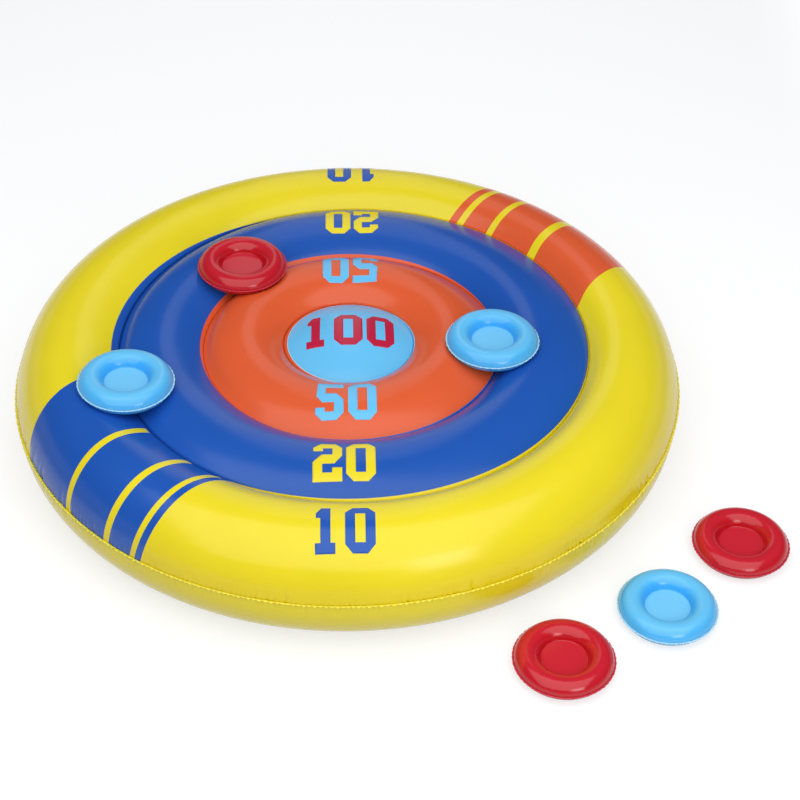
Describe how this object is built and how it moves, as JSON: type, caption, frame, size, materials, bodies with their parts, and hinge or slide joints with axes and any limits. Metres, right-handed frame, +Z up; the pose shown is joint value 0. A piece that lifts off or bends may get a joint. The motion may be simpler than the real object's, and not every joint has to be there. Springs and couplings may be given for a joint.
{
  "type": "inflatable floating target game",
  "caption": "Round inflatable floating target with concentric scoring rings inside a thick outer tube, an inflation valve, and loose inflatable tossing discs that lift off.",
  "frame": {"origin": "on the floor, under the middle of the target, at its flat resting patch", "axes": "+Z up out of the target's scoring side, -Y towards the side from which the numbers read upright"},
  "size_m": [1.584, 1.5305, 0.2875],
  "materials": {
    "yellow_vinyl": "gloss welded PVC sheet, yellow, printed on ring 10",
    "blue_vinyl": "gloss welded PVC sheet, blue",
    "orange_vinyl": "gloss welded PVC sheet, orange",
    "light_blue_vinyl": "gloss welded PVC sheet, light blue",
    "red_vinyl": "gloss welded PVC sheet, red",
    "valve_vinyl": "soft milky moulded PVC"
  },
  "bodies": {
    "target": {"ring_10_top": "yellow_vinyl", "ring_20_top": "blue_vinyl", "ring_50_top": "orange_vinyl", "centre_100_top": "light_blue_vinyl", "ring_10_bottom": "yellow_vinyl", "ring_20_bottom": "yellow_vinyl", "ring_50_bottom": "yellow_vinyl", "centre_100_bottom": "yellow_vinyl", "outer_web": "yellow_vinyl", "middle_web": "yellow_vinyl", "inner_web": "yellow_vinyl", "valve_seat": "valve_vinyl"},
    "valve_stem": {"valve_stem": "valve_vinyl"},
    "valve_plug": {"valve_plug": "valve_vinyl"},
    "valve_flap": {"valve_flap": "valve_vinyl"},
    "disc_1": {"disc_1_top": "light_blue_vinyl", "disc_1_bottom": "light_blue_vinyl", "disc_1_valve": "valve_vinyl"},
    "disc_2": {"disc_2_top": "red_vinyl", "disc_2_bottom": "red_vinyl", "disc_2_valve": "valve_vinyl"},
    "disc_3": {"disc_3_top": "light_blue_vinyl", "disc_3_bottom": "light_blue_vinyl", "disc_3_valve": "valve_vinyl"},
    "disc_4": {"disc_4_top": "red_vinyl", "disc_4_bottom": "red_vinyl", "disc_4_valve": "valve_vinyl"},
    "disc_5": {"disc_5_top": "light_blue_vinyl", "disc_5_bottom": "light_blue_vinyl", "disc_5_valve": "valve_vinyl"},
    "disc_6": {"disc_6_top": "red_vinyl", "disc_6_bottom": "red_vinyl", "disc_6_valve": "valve_vinyl"},
    "disc_1_plug": {"disc_1_plug": "valve_vinyl"},
    "disc_2_plug": {"disc_2_plug": "valve_vinyl"},
    "disc_3_plug": {"disc_3_plug": "valve_vinyl"},
    "disc_4_plug": {"disc_4_plug": "valve_vinyl"},
    "disc_5_plug": {"disc_5_plug": "valve_vinyl"},
    "disc_6_plug": {"disc_6_plug": "valve_vinyl"}
  },
  "joints": [
    {"name": "valve_stem_slide", "type": "slide", "parent": "target", "child": "valve_stem", "axis": [-0.0613, 0.7788, -0.6243], "range_m": [0, 0.01]},
    {"name": "valve_plug_hinge", "type": "hinge", "parent": "valve_stem", "child": "valve_plug", "pos_m": [-0.0533, 0.67725, 0.05291], "axis": [0.9969, 0.0785, 0], "range_deg": [0, 120]},
    {"name": "valve_flap_hinge", "type": "hinge", "parent": "valve_stem", "child": "valve_flap", "pos_m": [-0.05188, 0.65915, 0.05999], "axis": [-0.9969, -0.0785, 0], "range_deg": [0, 60]},
    {"name": "disc_1_lift", "type": "slide", "parent": "target", "child": "disc_1", "axis": [0, 0, 1], "range_m": [0, 0.3]},
    {"name": "disc_2_lift", "type": "slide", "parent": "target", "child": "disc_2", "axis": [0, 0, 1], "range_m": [0, 0.3]},
    {"name": "disc_3_lift", "type": "slide", "parent": "target", "child": "disc_3", "axis": [0, 0, 1], "range_m": [0, 0.3]},
    {"name": "disc_4_lift", "type": "slide", "parent": "target", "child": "disc_4", "axis": [0, 0, 1], "range_m": [0, 0.3]},
    {"name": "disc_5_lift", "type": "slide", "parent": "target", "child": "disc_5", "axis": [0, 0, 1], "range_m": [0, 0.3]},
    {"name": "disc_6_lift", "type": "slide", "parent": "target", "child": "disc_6", "axis": [0, 0, 1], "range_m": [0, 0.3]},
    {"name": "disc_1_plug_hinge", "type": "hinge", "parent": "disc_1", "child": "disc_1_plug", "pos_m": [-0.44547, -0.09728, 0.25795], "axis": [0.9992, -0.0003, -0.0401], "range_deg": [0, 110]},
    {"name": "disc_2_plug_hinge", "type": "hinge", "parent": "disc_2", "child": "disc_2_plug", "pos_m": [-0.23002, 0.31041, 0.25435], "axis": [0.9998, 0.0002, -0.019], "range_deg": [0, 110]},
    {"name": "disc_3_plug_hinge", "type": "hinge", "parent": "disc_3", "child": "disc_3_plug", "pos_m": [0.29821, 0.0346, 0.25233], "axis": [1, 0, 0], "range_deg": [0, 110]},
    {"name": "disc_4_plug_hinge", "type": "hinge", "parent": "disc_4", "child": "disc_4_plug", "pos_m": [0.39334, -0.63382, 0.0186], "axis": [1, 0, 0], "range_deg": [0, 110]},
    {"name": "disc_5_plug_hinge", "type": "hinge", "parent": "disc_5", "child": "disc_5_plug", "pos_m": [0.60631, -0.50634, 0.0186], "axis": [1, 0, 0], "range_deg": [0, 110]},
    {"name": "disc_6_plug_hinge", "type": "hinge", "parent": "disc_6", "child": "disc_6_plug", "pos_m": [0.77947, -0.33487, 0.0186], "axis": [1, 0, 0], "range_deg": [0, 110]}
  ]
}
